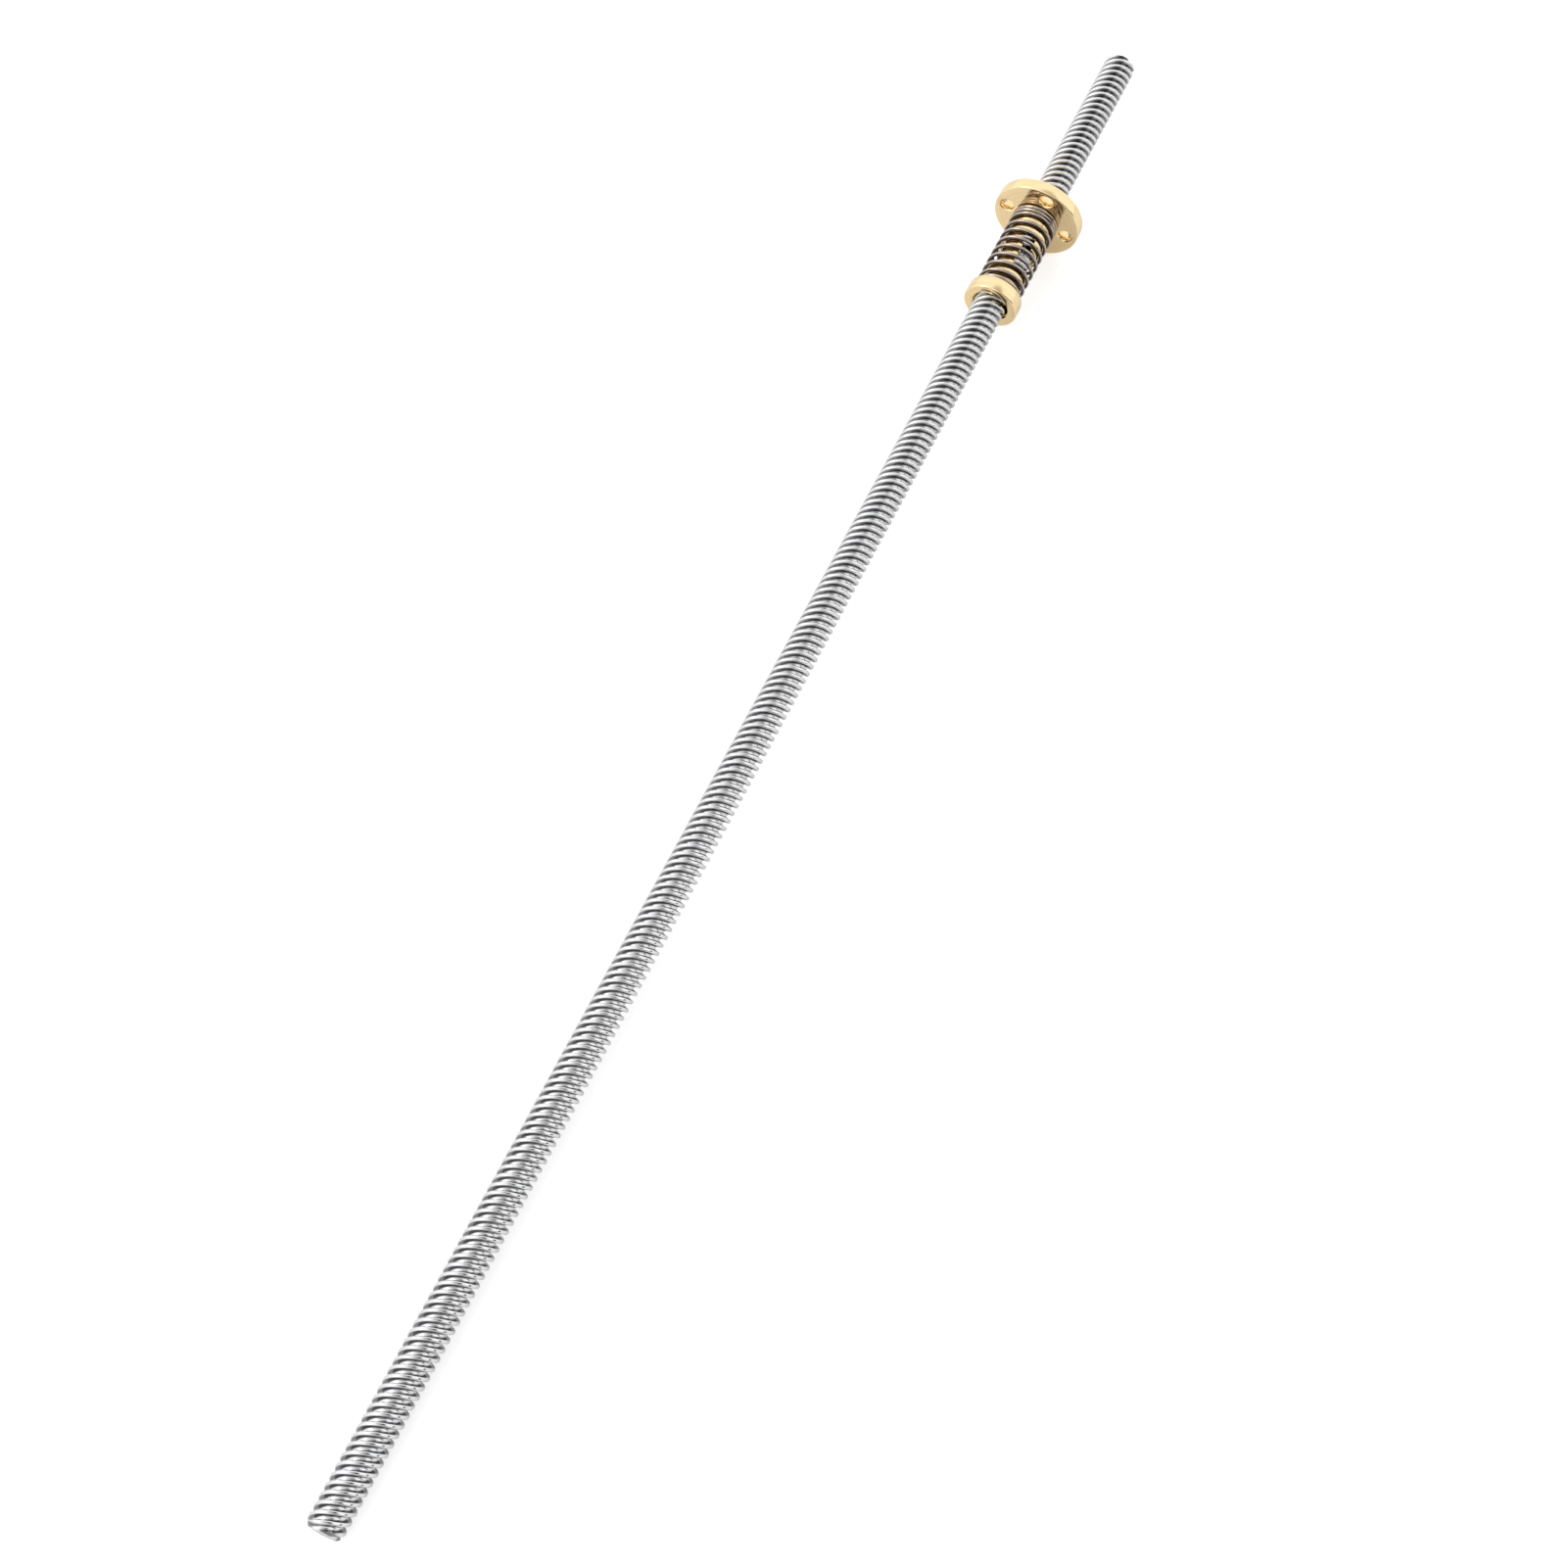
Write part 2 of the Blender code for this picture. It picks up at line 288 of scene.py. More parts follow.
# Streaks that run along the thread, as the rolling dies leave them, broken up along their length.
def makeRollingMarks():
    group, given = makeGroup(
        "rollingMarks",
        [("Lead", rolling["lead"]), ("Fineness", rolling["fineness"]), ("Breaks", rolling["breaks"])],
        [("Height", "Float"), ("Tone", "Float")],
    )
    space = useGroup(group, screwSpace)
    phase = doMath(group, "MULTIPLY", doMath(group, "DIVIDE", space["Along"], given["Lead"]), 2 * math.pi)
    angled = makeNode(
        group,
        "ShaderNodeVectorRotate",
        {"Vector": space["Around"], "Axis": (1, 0, 0), "Angle": doMath(group, "MULTIPLY", phase, -1)},
    ).outputs[0]
    section = makeNode(
        group,
        "ShaderNodeVectorMath",
        {0: angled, 3: doMath(group, "MULTIPLY", space["Radius"], 1 / mm)},
        operation="SCALE",
    ).outputs[0]
    fine = makeNode(
        group,
        "ShaderNodeTexNoise",
        {
            "Vector": section,
            "W": doMath(group, "MULTIPLY", space["Along"], given["Breaks"]),
            "Scale": given["Fineness"],
            "Detail": rolling["detail"],
            "Roughness": rolling["fineRoughness"],
        },
        noise_dimensions="4D",
    )
    place = makeNode(group, "ShaderNodeTexCoord").outputs["Object"]
    broad = makeNode(
        group,
        "ShaderNodeTexNoise",
        {
            "Vector": place,
            "Scale": rolling["broadScale"],
            "Detail": rolling["detail"],
            "Roughness": rolling["broadRoughness"],
        },
    )
    makeNode(group, "NodeGroupOutput", {"Height": fine.outputs[0], "Tone": broad.outputs[0]})
    return group


smudging = {"size": 6 * mm, "sharpness": 2.0, "detail": 5.0, "roughness": 0.55}


# Soft uneven patches, as handling and oil leave on metal.
def makeSmudges():
    group, given = makeGroup(
        "smudges",
        [("Size", smudging["size"]), ("Sharpness", smudging["sharpness"])],
        [("Mask", "Float")],
    )
    place = makeNode(group, "ShaderNodeTexCoord").outputs["Object"]
    noise = makeNode(
        group,
        "ShaderNodeTexNoise",
        {
            "Vector": place,
            "Scale": doMath(group, "DIVIDE", 1.0, given["Size"]),
            "Detail": smudging["detail"],
            "Roughness": smudging["roughness"],
        },
    ).outputs[0]
    middle = 0.5
    centred = doMath(group, "MULTIPLY", doMath(group, "SUBTRACT", noise, middle), given["Sharpness"])
    mask = makeNode(group, "ShaderNodeClamp", {"Value": doMath(group, "ADD", centred, middle)}).outputs[0]
    makeNode(group, "NodeGroupOutput", {"Mask": mask})
    return group


turningMarks = makeTurningMarks()
rollingMarks = makeRollingMarks()
smudges = makeSmudges()


def mapRange(tree, value, fromLow, fromHigh, toLow, toHigh):
    return makeNode(
        tree, "ShaderNodeMapRange", {0: value, 1: fromLow, 2: fromHigh, 3: toLow, 4: toHigh}
    ).outputs[0]


def mixColour(tree, share, first, second):
    node = makeNode(tree, "ShaderNodeMix", {0: share}, data_type="RGBA")
    for index, value in ((6, first), (7, second)):
        if isinstance(value, bpy.types.NodeSocket):
            tree.links.new(value, node.inputs[index])
        else:
            node.inputs[index].default_value = (*value, 1)
    return node.outputs[2]


def newMaterial(name):
    material = bpy.data.materials.new(name)
    material.use_nodes = True
    return material, material.node_tree, material.node_tree.nodes["Principled BSDF"]


def bumpFrom(tree, height, finish):
    return makeNode(
        tree,
        "ShaderNodeBump",
        {"Height": height, "Strength": finish["bump"], "Distance": finish["bumpHeight"]},
    ).outputs[0]


# A roughness that goes from a little smoother to a little rougher as a mask goes from low to high.
def roughnessFrom(tree, mask, low, high, finish):
    smoothest = finish["roughness"] - finish["smoother"]
    roughest = finish["roughness"] + finish["rougher"]
    return mapRange(tree, mask, low, high, smoothest, roughest)


# Finishes

# The dark colour on the thread's flanks is painted shade, standing in for the shade and dark reflections in
# the grooves; root and crest keep the steel's own colour.
steelFinish = {
    "crest": (0.8, 0.8, 0.81),
    "flank": (0.21, 0.21, 0.215),
    "root": (0.82, 0.82, 0.83),
    "flankFoot": 2.85 * mm,
    "flankLow": 3.05 * mm,
    "flankHigh": 3.6 * mm,
    "flankTop": 3.85 * mm,
    "worn": (0.6, 0.6, 0.6),
    "wornFrom": 0.35,
    "wornFully": 0.75,
    "wornMost": 0.12,
    "roughness": 0.12,
    "smoother": 0.03,
    "rougher": 0.06,
    "streakLow": 0.3,
    "streakHigh": 0.7,
    "bump": 0.2,
    "bumpHeight": 0.01 * mm,
}


def makeSteel():
    material, tree, shader = newMaterial("rolledSteel")
    space = useGroup(tree, screwSpace)
    marks = useGroup(tree, rollingMarks)
    # Painted shade: the colour darkens on the thread's flanks, set by distance from the axis.
    foot = mapRange(tree, space["Radius"], steelFinish["flankFoot"], steelFinish["flankLow"], 0, 1)
    rise = mapRange(tree, space["Radius"], steelFinish["flankHigh"], steelFinish["flankTop"], 0, 1)
    colour = mixColour(tree, foot, steelFinish["root"], steelFinish["flank"])
    colour = mixColour(tree, rise, colour, steelFinish["crest"])
    share = mapRange(
        tree, marks["Tone"], steelFinish["wornFrom"], steelFinish["wornFully"], 0, steelFinish["wornMost"]
    )
    tree.links.new(mixColour(tree, share, colour, steelFinish["worn"]), shader.inputs["Base Color"])
    shader.inputs["Metallic"].default_value = 1
    streaks = marks["Height"]
    tree.links.new(
        roughnessFrom(tree, streaks, steelFinish["streakLow"], steelFinish["streakHigh"], steelFinish),
        shader.inputs["Roughness"],
    )
    tree.links.new(bumpFrom(tree, streaks, steelFinish), shader.inputs["Normal"])
    return material


brassFinish = {
    "bright": (0.96, 0.775, 0.47),
    "deep": (0.85, 0.6, 0.29),
    "ringLow": 0.3,
    "ringHigh": 0.7,
    "deepInRings": 0.35,
    "deepInSmudges": 0.25,
    "roughness": 0.09,
    "smoother": 0.03,
    "rougher": 0.07,
    "bump": 0.12,
    "bumpHeight": 0.006 * mm,
}


def makeBrass():
    material, tree, shader = newMaterial("turnedBrass")
    rings = useGroup(tree, turningMarks)
    patches = useGroup(tree, smudges)
    share = mapRange(
        tree, rings["Tone"], brassFinish["ringLow"], brassFinish["ringHigh"], 0, brassFinish["deepInRings"]
    )
    smudged = mapRange(tree, patches["Mask"], 0, 1, 0, brassFinish["deepInSmudges"])
    share = doMath(tree, "ADD", share, smudged)
    tree.links.new(
        mixColour(tree, share, brassFinish["bright"], brassFinish["deep"]), shader.inputs["Base Color"]
    )
    shader.inputs["Metallic"].default_value = 1
    tree.links.new(
        roughnessFrom(tree, patches["Mask"], 0, 1, brassFinish), shader.inputs["Roughness"]
    )
    tree.links.new(bumpFrom(tree, rings["Height"], brassFinish), shader.inputs["Normal"])
    return material


# The lighter colour on the outer side of each coil is a painted highlight; the dark colour is the wire's own
# oiled finish.
wireFinish = {
    "dark": (0.09, 0.07, 0.055),
    "paintedHighlight": (0.6, 0.53, 0.48),
    "highlightFrom": 5.5 * mm,
    "highlightFully": 5.82 * mm,
    "highlightLeast": 0.7,
    "smudgeSize": 1.2 * mm,
    "smudgeSharpness": 3.0,
    "roughness": 0.16,
    "smoother": 0.04,
    "rougher": 0.06,
    "bump": 0.15,
    "bumpHeight": 0.02 * mm,
}


def makeWire():
    material, tree, shader = newMaterial("oiledSpringWire")
    space = useGroup(tree, screwSpace)
    patches = useGroup(
        tree, smudges, {"Size": wireFinish["smudgeSize"], "Sharpness": wireFinish["smudgeSharpness"]}
    )
    # Painted highlight: lighter towards the outside of the coils, and weaker in random patches.
    outwards = mapRange(tree, space["Radius"], wireFinish["highlightFrom"], wireFinish["highlightFully"], 0, 1)
    uneven = mapRange(tree, patches["Mask"], 0, 1, wireFinish["highlightLeast"], 1)
    share = doMath(tree, "MULTIPLY", outwards, uneven)
    tree.links.new(
        mixColour(tree, share, wireFinish["dark"], wireFinish["paintedHighlight"]), shader.inputs["Base Color"]
    )
    shader.inputs["Metallic"].default_value = 1
    tree.links.new(roughnessFrom(tree, patches["Mask"], 0, 1, wireFinish), shader.inputs["Roughness"])
    tree.links.new(bumpFrom(tree, patches["Mask"], wireFinish), shader.inputs["Normal"])
    return material


steel = makeSteel()
brass = makeBrass()
wire = makeWire()
print("finishes made")


# The screw

screwShape = {
    "diameter": 8 * mm,
    "pitch": 2 * mm,
    "starts": 4,
    "depth": 1.25 * mm,
    "crestShare": 0.366,
    "innerCrest": 0.28,  # of a crest's half width, out to the points that keep its middle flat
    "flankLean": math.radians(15),
    "crestRound": 0.15 * mm,
    "rootRound": 0.04 * mm,
    "chamfer": 1 * mm,
    "turn": math.radians(17.4),
    "ringsPerTurn": 40,
}
lead = screwShape["pitch"] * screwShape["starts"]


# (distance along the axis, radius) across one thread, from one root's middle to just before the next.
def threadCorners(clearance):
    top = screwShape["diameter"] / 2 + clearance
    bottom = screwShape["diameter"] / 2 - screwShape["depth"] + clearance
    halfCrest = screwShape["crestShare"] * screwShape["pitch"] / 2 + clearance
    slope = math.tan(screwShape["flankLean"])
    halfBase = halfCrest + (top - bottom) * slope
    crestRound = screwShape["crestRound"]
    rootRound = screwShape["rootRound"]
    side = [
        (halfCrest * screwShape["innerCrest"], top),
        (halfCrest - crestRound, top),
        (halfCrest + crestRound * slope, top - crestRound),
        (halfBase - rootRound * slope, bottom + rootRound),
        (halfBase + rootRound, bottom),
    ]
    mirrored = [(-along, radius) for along, radius in reversed(side)]
    return [(-screwShape["pitch"] / 2, bottom)] + mirrored + side


# The closed outline that a plane square to the axis cuts from the thread, for the tree to sweep.
def threadSection(name, clearance):
    corners = []
    for start in range(screwShape["starts"]):
        for along, radius in threadCorners(clearance):
            turn = 2 * math.pi * (start / screwShape["starts"] + along / lead)
            corners.append((radius * math.sin(turn), -radius * math.cos(turn), 0, 1))
    curve = bpy.data.curves.new(name, "CURVE")
    curve.dimensions = "3D"
    outline = curve.splines.new("POLY")
    outline.points.add(len(corners) - 1)
    for point, corner in zip(outline.points, corners):
        point.co = corner
    outline.use_cyclic_u = True
    return addObject(name, curve)


# Sweeps a section along the axis, turns it once a lead, and trims both ends to a chamfer.
def makeThreadTree():
    tree, given = makeTree(
        "sweptThread",
        [
            ("Section", "Object"),
            ("Start", "Float"),
            ("End", "Float"),
            ("Lead", "Float"),
            ("Turn", "Float"),
            ("Rings Per Turn", "Float"),
            ("Outside", "Float"),
            ("Chamfer", "Float"),
            ("Material", "Material"),
        ],
    )
    start = makeNode(tree, "ShaderNodeCombineXYZ", {"X": given["Start"]}).outputs[0]
    end = makeNode(tree, "ShaderNodeCombineXYZ", {"X": given["End"]}).outputs[0]
    line = makeNode(tree, "GeometryNodeCurvePrimitiveLine", {"Start": start, "End": end}).outputs[0]
    turns = doMath(tree, "DIVIDE", doMath(tree, "SUBTRACT", given["End"], given["Start"]), given["Lead"])
    rings = doMath(tree, "MULTIPLY_ADD", turns, given["Rings Per Turn"], 1)
    line = makeNode(tree, "GeometryNodeResampleCurve", {"Curve": line, "Count": rings}).outputs[0]
    line = makeNode(tree, "GeometryNodeSetCurveNormal", {"Curve": line}, mode="Z_UP").outputs[0]
    place = makeNode(tree, "GeometryNodeInputPosition").outputs[0]
    station = makeNode(tree, "ShaderNodeSeparateXYZ", {0: place}).outputs["X"]
    perLength = doMath(tree, "DIVIDE", 2 * math.pi, given["Lead"])
    tilt = doMath(tree, "MULTIPLY_ADD", station, perLength, given["Turn"])
    line = makeNode(tree, "GeometryNodeSetCurveTilt", {"Curve": line, "Tilt": tilt}).outputs[0]
    section = makeNode(tree, "GeometryNodeObjectInfo", {"Object": given["Section"]}).outputs["Geometry"]
    swept = makeNode(
        tree, "GeometryNodeCurveToMesh", {"Curve": line, "Profile Curve": section, "Fill Caps": True}
    ).outputs[0]

    fromStart = doMath(tree, "SUBTRACT", station, given["Start"])
    fromEnd = doMath(tree, "SUBTRACT", given["End"], station)
    inside = doMath(tree, "MINIMUM", fromStart, fromEnd)
    cutBack = doMath(tree, "MAXIMUM", doMath(tree, "SUBTRACT", given["Chamfer"], inside), 0)
    limit = doMath(tree, "SUBTRACT", given["Outside"], cutBack)
    across = makeNode(tree, "ShaderNodeVectorMath", {0: place, 1: (0, 1, 1)}, operation="MULTIPLY").outputs[0]
    radius = makeNode(tree, "ShaderNodeVectorMath", {0: across}, operation="LENGTH").outputs["Value"]
    share = doMath(tree, "MINIMUM", doMath(tree, "DIVIDE", limit, radius), 1)
    scaled = makeNode(tree, "ShaderNodeVectorMath", {0: across, 3: share}, operation="SCALE").outputs[0]
    axial = makeNode(tree, "ShaderNodeCombineXYZ", {"X": station}).outputs[0]
    trimmed = makeNode(tree, "ShaderNodeVectorMath", {0: scaled, 1: axial}, operation="ADD").outputs[0]
    shaped = makeNode(tree, "GeometryNodeSetPosition", {"Geometry": swept, "Position": trimmed}).outputs[0]
    endTree(tree, shaped, given["Material"])
    return tree


threadTree = makeThreadTree()


def growThread(name, clearance, start, end, chamfer, material):
    section = threadSection(name + "Section", clearance)
    obj = grow(
        name,
        threadTree,
        {
            "Section": section,
            "Start": start,
            "End": end,
            "Lead": lead,
            "Turn": screwShape["turn"],
            "Rings Per Turn": float(screwShape["ringsPerTurn"]),
            "Outside": screwShape["diameter"] / 2 + clearance,
            "Chamfer": chamfer,
            "Material": material,
        },
    )
    return obj, section


smoothUpTo = math.radians(50)


def makeScrew():
    start, end = spanAlongAxis("lead_screw")
    obj, section = growThread("screwThread", 0, start, end, screwShape["chamfer"], steel)
    screw = finished(obj, "screwThread")
    bpy.data.objects.remove(section)
    screw.data.set_sharp_from_angle(angle=smoothUpTo)
    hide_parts("lead_screw")
    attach(screw, "screw")


makeScrew()


# The two halves of the nut

nutShape = {
    "flangeDiameter": 22 * mm,
    "flangeThickness": 3.2 * mm,
    "holes": 4,
    "holeDiameter": 3.5 * mm,
    "holeCircle": 16 * mm,
    "holeChamfer": 0.25 * mm,
    "holeTurn": math.radians(14),
    "barrelDiameter": 9.7 * mm,
    "boreDiameter": 8.4 * mm,
    "slotDepth": 4.2 * mm,
    "slotWidth": 6.5 * mm,
    "slotTurn": math.radians(-0.5),
    "collarDiameter": 13.5 * mm,
    "collarThickness": 3.8 * mm,
    "collarSleeve": 7 * mm,
    "tangWidth": 4.2 * mm,
    "tangTip": 3.4 * mm,
    "tangStep": 1.1 * mm,
    "tangGap": 0.25 * mm,
    "rimRound": 0.35 * mm,
    "edgeRound": 0.12 * mm,
    "mouthChamfer": 0.5 * mm,
    "segments": 144,
    "drillSegments": 48,
    "threadClearance": 0.1 * mm,
    "threadHeight": 1.05 * mm,
}


overcut = 1 * mm  # how far a tool runs past what it cuts
sameSpot = 0.001 * mm


# A closed outline of (along, radius, round) corners, with each corner turned into an arc.
def rounded(corners, steps=4):
    outline = []
    count = len(corners)
    for index, (along, radius, size) in enumerate(corners):
        corner = Vector((along, radius))
        if not size:
            outline.append(corner)
            continue
        before = (Vector(corners[index - 1][:2]) - corner).normalized()
        after = (Vector(corners[(index + 1) % count][:2]) - corner).normalized()
        opening = before.angle(after)
        reach = size / math.tan(opening / 2)
        middle = corner + (before + after).normalized() * (size / math.sin(opening / 2))
        first = corner + before * reach - middle
        last = corner + after * reach - middle
        sweep = first.angle_signed(last)
        for step in range(steps + 1):
            spin = Matrix.Rotation(-sweep * step / steps, 2)
            outline.append(middle + spin @ first)
    return outline


# Spins an outline about the axis into one closed ring.
def lathe(name, corners, segments):
    mesh = bpy.data.meshes.new(name)
    work = bmesh.new()
    ring = [work.verts.new((point.x, 0, point.y)) for point in rounded(corners)]
    edges = [work.edges.new((ring[index - 1], ring[index])) for index in range(len(ring))]
    bmesh.ops.spin(
        work, geom=ring + edges, axis=(1, 0, 0), cent=(0, 0, 0), angle=2 * math.pi, steps=segments
    )
    bmesh.ops.remove_doubles(work, verts=work.verts, dist=sameSpot)
    bmesh.ops.recalc_face_normals(work, faces=work.faces)
    work.to_mesh(mesh)
    work.free()
    mesh.materials.append(brass)
    return addObject(name, mesh)


# A drill with a countersink towards both of the faces that it goes through.
def drillTool(name, radius, start, end, middle, flare):
    mesh = bpy.data.meshes.new(name)
    work = bmesh.new()
    outline = [
        (start - overcut, radius + flare + overcut),
        (start + flare, radius),
        (end - flare, radius),
        (end + overcut, radius + flare + overcut),
    ]
    line = [work.verts.new((along, 0, away)) for along, away in outline]
    poles = [work.verts.new((along, 0, 0)) for along in (outline[0][0], outline[-1][0])]
    path = [poles[0], *line, poles[1]]
    edges = [work.edges.new(pair) for pair in zip(path, path[1:])]
    bmesh.ops.spin(
        work,
        geom=path + edges,
        axis=(1, 0, 0),
        cent=(0, 0, 0),
        angle=2 * math.pi,
        steps=nutShape["drillSegments"],
    )
    bmesh.ops.remove_doubles(work, verts=work.verts, dist=sameSpot)
    bmesh.ops.recalc_face_normals(work, faces=work.faces)
    bmesh.ops.translate(work, verts=work.verts, vec=middle)
    work.to_mesh(mesh)
    work.free()
    mesh.materials.append(brass)
    return addObject(name, mesh)


# A box with walls along the axis at low and high, right through the barrel or, with bottom at 0, from
# the axis upwards only.
def boxTool(name, start, end, low, high, turn, bottom=-1):
    mesh = bpy.data.meshes.new(name)
    work = bmesh.new()
    tall = nutShape["flangeDiameter"] / 2
    size = Matrix.Diagonal((end - start, high - low, tall * (1 - bottom), 1))
    middle = Matrix.Translation(((start + end) / 2, (low + high) / 2, tall * (1 + bottom) / 2))
    bmesh.ops.create_cube(work, size=1, matrix=Matrix.Rotation(turn, 4, "X") @ middle @ size)
    work.to_mesh(mesh)
    work.free()
    mesh.materials.append(brass)
    return addObject(name, mesh)


def cutWith(obj, tool):
    cut = obj.modifiers.new(tool.name, "BOOLEAN")
    cut.operation = "DIFFERENCE"
    cut.object = tool


def makeFlangeHalf():
    tip, back = spanAlongAxis("flange_nut")
    front = back - nutShape["flangeThickness"]
    slotFloor = tip + nutShape["slotDepth"]
    barrel = nutShape["barrelDiameter"] / 2
    flange = nutShape["flangeDiameter"] / 2
    bore = screwShape["diameter"] / 2 - nutShape["threadHeight"]
    mouth = nutShape["boreDiameter"] / 2 + nutShape["mouthChamfer"]
    rim = nutShape["rimRound"]
    edge = nutShape["edgeRound"]
    half = lathe(
        "flangeHalf",
        [
            (tip, nutShape["boreDiameter"] / 2, edge),
            (tip, barrel, edge),
            (front, barrel, edge),
            (front, flange, rim),
            (back, flange, rim),
            (back, mouth, edge),
            (back - (mouth - bore), bore, 0),
            (slotFloor, bore, 0),
            (slotFloor, nutShape["boreDiameter"] / 2, 0),
        ],
        nutShape["segments"],
    )
    halfSlot = nutShape["slotWidth"] / 2
    tools = [boxTool("slot", tip - overcut, slotFloor, -halfSlot, halfSlot, nutShape["slotTurn"])]
    drill = nutShape["holeDiameter"] / 2
    for hole in range(nutShape["holes"]):
        turn = nutShape["holeTurn"] + 2 * math.pi * hole / nutShape["holes"]
        middle = nutShape["holeCircle"] / 2 * around(turn)
        tools.append(drillTool(f"drill{hole}", drill, front, back, middle, nutShape["holeChamfer"]))
    tap, section = growThread(
        "tap", nutShape["threadClearance"], slotFloor - overcut, back + overcut, 0, brass
    )
    tools.append(tap)
    for tool in tools:
        cutWith(half, tool)
    piece = finished(half, "flangeHalf")
    for tool in [*tools, section]:
        bpy.data.objects.remove(tool)
    return piece


def makeCollarHalf():
    start, end = spanAlongAxis("collar_nut")
    back = start + nutShape["collarThickness"]
    barrel = nutShape["barrelDiameter"] / 2
    collar = nutShape["collarDiameter"] / 2
    bore = nutShape["boreDiameter"] / 2
    rim = nutShape["rimRound"]
    edge = nutShape["edgeRound"]
    mouth = nutShape["mouthChamfer"]
    half = lathe(
        "collarHalf",
        [
            (start, bore + mouth, edge),
            (start, collar, rim),
            (back, collar, rim),
            (back, barrel, edge),
            (end, barrel, edge),
            (end, bore, edge),
            (start + mouth, bore, 0),
        ],
        nutShape["segments"],
    )
    halfTang = nutShape["tangWidth"] / 2
    halfSlot = nutShape["slotWidth"] / 2 - nutShape["tangGap"]
    swing = math.asin(halfSlot / barrel) - math.asin(halfTang / barrel)
    turn = nutShape["slotTurn"] - swing
    sleeveEnd = back + nutShape["collarSleeve"]
    tools = [
        boxTool("wasteLeft", sleeveEnd, end + overcut, halfTang, halfTang + collar, turn),
        boxTool("wasteRight", sleeveEnd, end + overcut, -halfTang - collar, -halfTang, turn),
    ]
    tipStart = end - nutShape["tangTip"]
    freeEdge = nutShape["tangStep"] - halfTang
    for name, halfTurn in (("stepTop", 0), ("stepBottom", math.pi)):
        step = boxTool(name, tipStart, end + overcut, -collar, freeEdge, turn + halfTurn, bottom=0)
        tools.append(step)
    for tool in tools:
        cutWith(half, tool)
    piece = finished(half, "collarHalf")
    for tool in tools:
        bpy.data.objects.remove(tool)
    return piece


def dressNutHalf(piece, node, body):
    piece.data.shade_smooth()
    piece.data.set_sharp_from_angle(angle=smoothUpTo)
    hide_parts(node)
    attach(piece, body)


dressNutHalf(makeFlangeHalf(), "flange_nut", "flange_half")
dressNutHalf(makeCollarHalf(), "collar_nut", "collar_half")


# The spring

springShape = {
    "wire": 0.9 * mm,
    "openPitch": 2.7 * mm,
    "closedAtCollar": 1.0,
    "closedAtFlange": 2.2,
    "closedPitch": 0.96 * mm,
    "clearance": 0.1 * mm,
    "seatGap": 0.05 * mm,
    "turn": math.radians(125),
    "pointsPerTurn": 48.0,
    "sides": 16,
}


# One wire wound round the axis: closed turns at both ends and open ones between.
def makeSpringTree():
    tree, given = makeTree(
        "woundSpring",
        [
            ("Start", "Float"),
            ("Coil Radius", "Float"),
            ("Wire", "Float"),
            ("Closed First", "Float"),
            ("Open Turns", "Float"),
            ("Closed Last", "Float"),
            ("Closed Pitch", "Float"),
            ("Open Pitch", "Float"),
            ("Turn", "Float"),
            ("Points Per Turn", "Float"),
            ("Sides", "Int"),
            ("Material", "Material"),
        ],
    )
    closed = doMath(tree, "ADD", given["Closed First"], given["Closed Last"])
    turns = doMath(tree, "ADD", closed, given["Open Turns"])
    steps = doMath(tree, "ROUND", doMath(tree, "MULTIPLY", turns, given["Points Per Turn"]))
    line = makeNode(tree, "GeometryNodeCurvePrimitiveLine").outputs[0]
    line = makeNode(
        tree, "GeometryNodeResampleCurve", {"Curve": line, "Count": doMath(tree, "ADD", steps, 1)}
    ).outputs[0]
    index = makeNode(tree, "GeometryNodeInputIndex").outputs[0]
    wound = doMath(tree, "MULTIPLY", doMath(tree, "DIVIDE", index, steps), turns)
    passed = doMath(tree, "MAXIMUM", doMath(tree, "SUBTRACT", wound, given["Closed First"]), 0)
    opened = doMath(tree, "MINIMUM", passed, given["Open Turns"])
    tight = doMath(tree, "SUBTRACT", wound, opened)
    station = doMath(tree, "MULTIPLY_ADD", tight, given["Closed Pitch"], given["Start"])
    station = doMath(tree, "MULTIPLY_ADD", opened, given["Open Pitch"], station)
    angle = doMath(tree, "MULTIPLY_ADD", wound, 2 * math.pi, given["Turn"])
    sideways = doMath(tree, "MULTIPLY", doMath(tree, "SINE", angle), -1)
    place = makeNode(
        tree,
        "ShaderNodeCombineXYZ",
        {
            "X": station,
            "Y": doMath(tree, "MULTIPLY", sideways, given["Coil Radius"]),
            "Z": doMath(tree, "MULTIPLY", doMath(tree, "COSINE", angle), given["Coil Radius"]),
        },
    ).outputs[0]
    line = makeNode(tree, "GeometryNodeSetPosition", {"Geometry": line, "Position": place}).outputs[0]
    circle = makeNode(
        tree,
        "GeometryNodeCurvePrimitiveCircle",
        {"Resolution": given["Sides"], "Radius": doMath(tree, "DIVIDE", given["Wire"], 2)},
    ).outputs[0]
    swept = makeNode(
        tree, "GeometryNodeCurveToMesh", {"Curve": line, "Profile Curve": circle, "Fill Caps": True}
    ).outputs[0]
    endTree(tree, swept, given["Material"])
    return tree


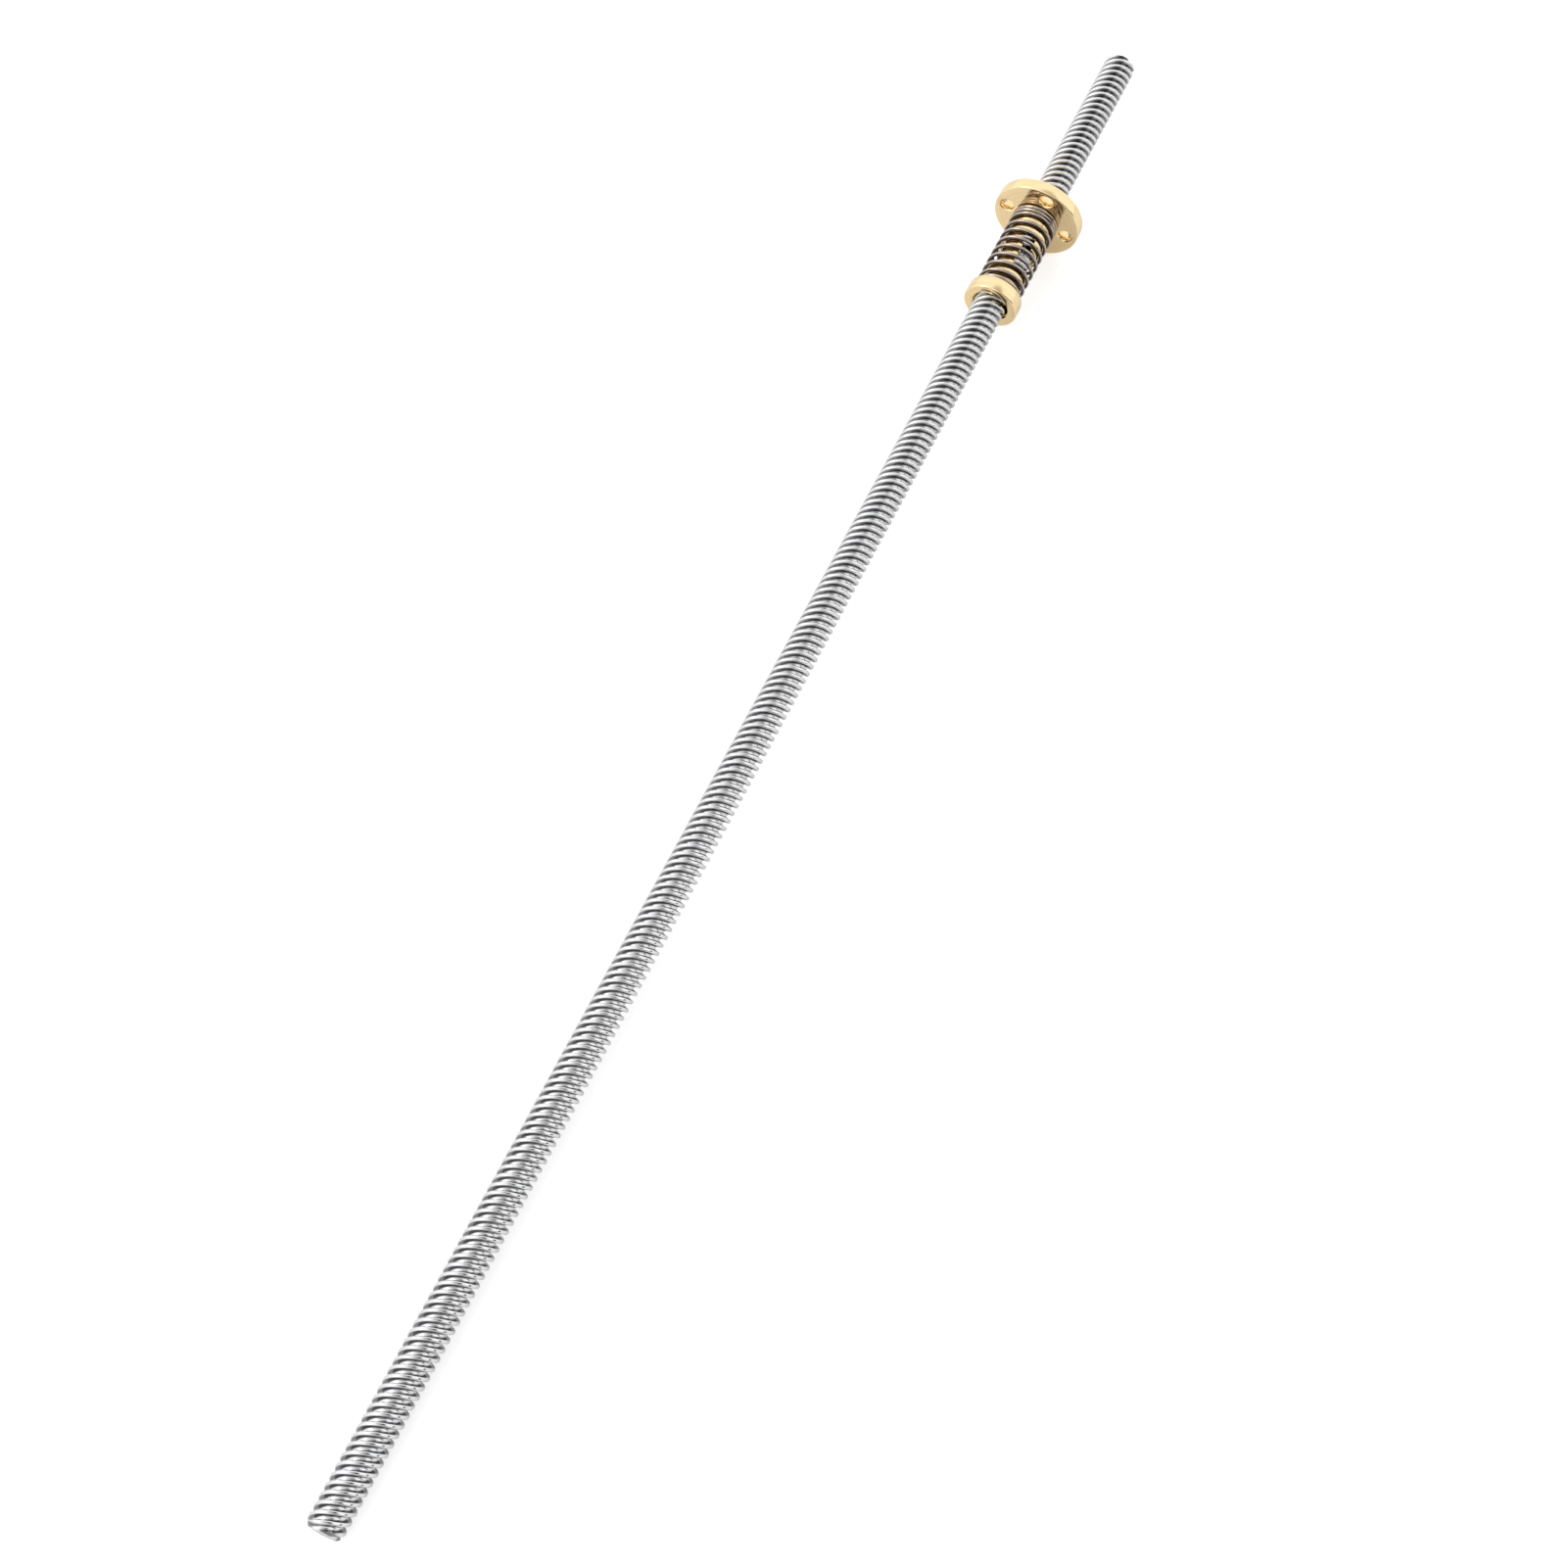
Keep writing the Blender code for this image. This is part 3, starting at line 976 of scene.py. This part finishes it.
def makeSpring():
    wireRadius = springShape["wire"] / 2
    collarBack = spanAlongAxis("collar_nut")[0] + nutShape["collarThickness"]
    flangeFront = spanAlongAxis("flange_nut")[1] - nutShape["flangeThickness"]
    start = collarBack + springShape["seatGap"] + wireRadius
    end = flangeFront - springShape["seatGap"] - wireRadius
    closed = springShape["closedAtCollar"] + springShape["closedAtFlange"]
    openLength = end - start - closed * springShape["closedPitch"]
    openTurns = round(openLength / springShape["openPitch"], 1)
    obj = grow(
        "spring",
        makeSpringTree(),
        {
            "Start": start,
            "Coil Radius": nutShape["barrelDiameter"] / 2 + springShape["clearance"] + wireRadius,
            "Wire": springShape["wire"],
            "Closed First": springShape["closedAtCollar"],
            "Open Turns": openTurns,
            "Closed Last": springShape["closedAtFlange"],
            "Closed Pitch": springShape["closedPitch"],
            "Open Pitch": openLength / openTurns,
            "Turn": springShape["turn"],
            "Points Per Turn": springShape["pointsPerTurn"],
            "Sides": springShape["sides"],
            "Material": wire,
        },
    )
    spring = finished(obj, "springCoils")
    spring.data.set_sharp_from_angle(angle=smoothUpTo)
    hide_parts("compression_spring")
    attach(spring, "spring")


makeSpring()


# The floor and the light

studio = {
    "floorSize": 3.0,
    "floorColour": (0.8, 0.8, 0.8),
    "floorRoughness": 0.9,
    "floorGlow": 0.52,
    "glowInShine": 0.25,  # the share of it that what shines shows
    "skyLight": 1.15,
    "lampPlace": (-0.3, 0.9, 0.9),
    "lampAim": (0, 0, 0),
    "lampSize": 0.6,
    "lampPower": 3.0,
}


def makeFloor():
    bpy.context.view_layer.update()
    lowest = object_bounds()[0][2]
    bpy.ops.mesh.primitive_plane_add(size=studio["floorSize"], location=(0, 0, lowest))
    floor = bpy.context.object
    floor.name = "floor"
    material, tree, shader = newMaterial("paleFloor")
    shader.inputs["Base Color"].default_value = (*studio["floorColour"], 1)
    shader.inputs["Roughness"].default_value = studio["floorRoughness"]
    shader.inputs["Specular IOR Level"].default_value = 0
    shader.inputs["Emission Color"].default_value = (1, 1, 1, 1)
    rays = makeNode(tree, "ShaderNodeLightPath").outputs
    shine = doMath(tree, "MAXIMUM", rays["Is Glossy Ray"], rays["Is Transmission Ray"])
    shine = doMath(tree, "MULTIPLY", shine, studio["glowInShine"])
    seen = doMath(tree, "MAXIMUM", rays["Is Camera Ray"], shine)
    tree.links.new(doMath(tree, "MULTIPLY", seen, studio["floorGlow"]), shader.inputs["Emission Strength"])
    floor.data.materials.append(material)


# Darker places in the light tent: two overhead and three low down on the right of the screw. Each fades
# from its tone at the inner angle, in degrees, to white at the outer one.
skyPatches = [
    {"towards": (0.1, -0.2, 0.97), "inner": 10, "outer": 34, "tone": 0.4},
    {"towards": (0.08, -0.36, 0.93), "inner": 5, "outer": 15, "tone": 0.15},
    {"towards": (-0.76, -0.65, 0.02), "inner": 20, "outer": 48, "tone": 0.03},
    {"towards": (-0.1, -0.99, 0.12), "inner": 6, "outer": 12, "tone": 0.08},
    {"towards": (0.22, -0.97, 0.12), "inner": 6, "outer": 12, "tone": 0.08},
]


# A white light tent, which shows its darker places only in what shines and in the light it gives.
def makeSky():
    world = bpy.data.worlds.new("lightTent")
    bpy.context.scene.world = world
    world.use_nodes = True
    tree = world.node_tree
    background = tree.nodes["Background"]
    background.inputs["Strength"].default_value = studio["skyLight"]
    direction = makeNode(tree, "ShaderNodeTexCoord").outputs["Generated"]
    shade = None
    for patch in skyPatches:
        towards = Vector(patch["towards"]).normalized()
        closeness = makeNode(
            tree, "ShaderNodeVectorMath", {0: direction, 1: towards}, operation="DOT_PRODUCT"
        ).outputs["Value"]
        outer = math.cos(math.radians(patch["outer"]))
        inner = math.cos(math.radians(patch["inner"]))
        tone = makeNode(
            tree,
            "ShaderNodeMapRange",
            {0: closeness, 1: outer, 2: inner, 3: 1.0, 4: patch["tone"]},
            interpolation_type="SMOOTHSTEP",
        ).outputs[0]
        shade = tone if shade is None else doMath(tree, "MULTIPLY", shade, tone)
    rays = makeNode(tree, "ShaderNodeLightPath").outputs
    shown = makeNode(tree, "ShaderNodeMix", {0: rays["Is Camera Ray"], 2: shade, 3: 1.0}).outputs[0]
    tree.links.new(shown, background.inputs["Color"])


def makeLamp(name, place, aim, size, power):
    light = bpy.data.lights.new(name, "AREA")
    light.energy = power
    light.size = size
    lamp = bpy.data.objects.new(name, light)
    lamp.location = place
    lamp.rotation_euler = (Vector(aim) - Vector(place)).to_track_quat("-Z", "Y").to_euler()
    bpy.context.scene.collection.objects.link(lamp)


makeFloor()
makeSky()
makeLamp("softbox", studio["lampPlace"], studio["lampAim"], studio["lampSize"], studio["lampPower"])
bpy.context.scene.view_settings.view_transform = "Standard"
print("studio set")

bpy.context.view_layer.update()
